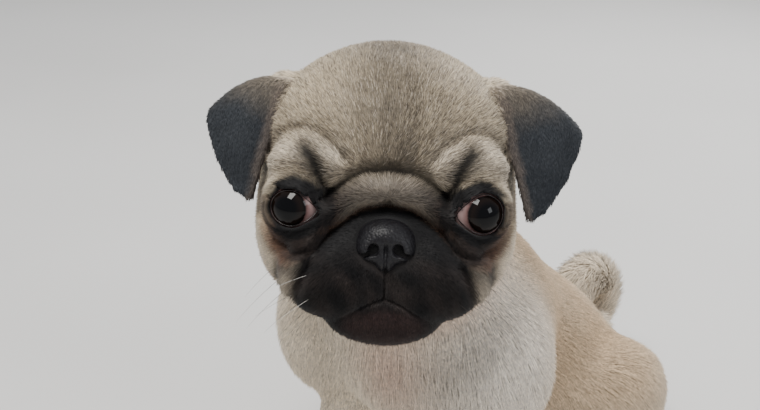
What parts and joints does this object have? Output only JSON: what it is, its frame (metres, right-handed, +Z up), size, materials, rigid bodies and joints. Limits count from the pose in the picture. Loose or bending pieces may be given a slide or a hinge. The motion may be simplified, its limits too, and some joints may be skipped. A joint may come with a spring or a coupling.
{
  "type": "pug puppy, sitting",
  "caption": "Still, life-size model of a pug puppy that sits on a floor with its head turned to its left, its ears folded over and its tail curled.",
  "frame": {"origin": "on the floor, under the middle of the whole puppy's box", "axes": "+Z up, the body faces -Y, +X is the puppy's left side"},
  "size_m": [0.135, 0.2246, 0.2078],
  "materials": {
    "coat_fawn": "short fawn coat, salt and pepper on the forehead",
    "coat_cream": "short pale cream coat",
    "coat_mask": "short black coat of the mask",
    "coat_ear": "thin ear with fine black and grey fur",
    "nose_leather": "moist black nose leather with a pebbled grain",
    "eye": "moist dark brown eye",
    "claw": "small dark claws",
    "whisker": "thin whiskers, white and black"
  },
  "bodies": {
    "root": {"head": "coat_fawn", "jaw": "coat_mask", "nose": "nose_leather", "eye_left": "eye", "eye_right": "eye", "ear_left": "coat_ear", "ear_right": "coat_ear", "neck": "coat_fawn", "chest": "coat_cream", "hindquarters": "coat_fawn", "foreleg_left": "coat_cream", "foreleg_right": "coat_cream", "forepaw_left": "coat_cream", "forepaw_right": "coat_cream", "thigh_left": "coat_fawn", "thigh_right": "coat_fawn", "hindfoot_left": "coat_cream", "hindfoot_right": "coat_cream", "tail_root": "coat_fawn", "tail_curl": "coat_cream"}
  },
  "joints": []
}
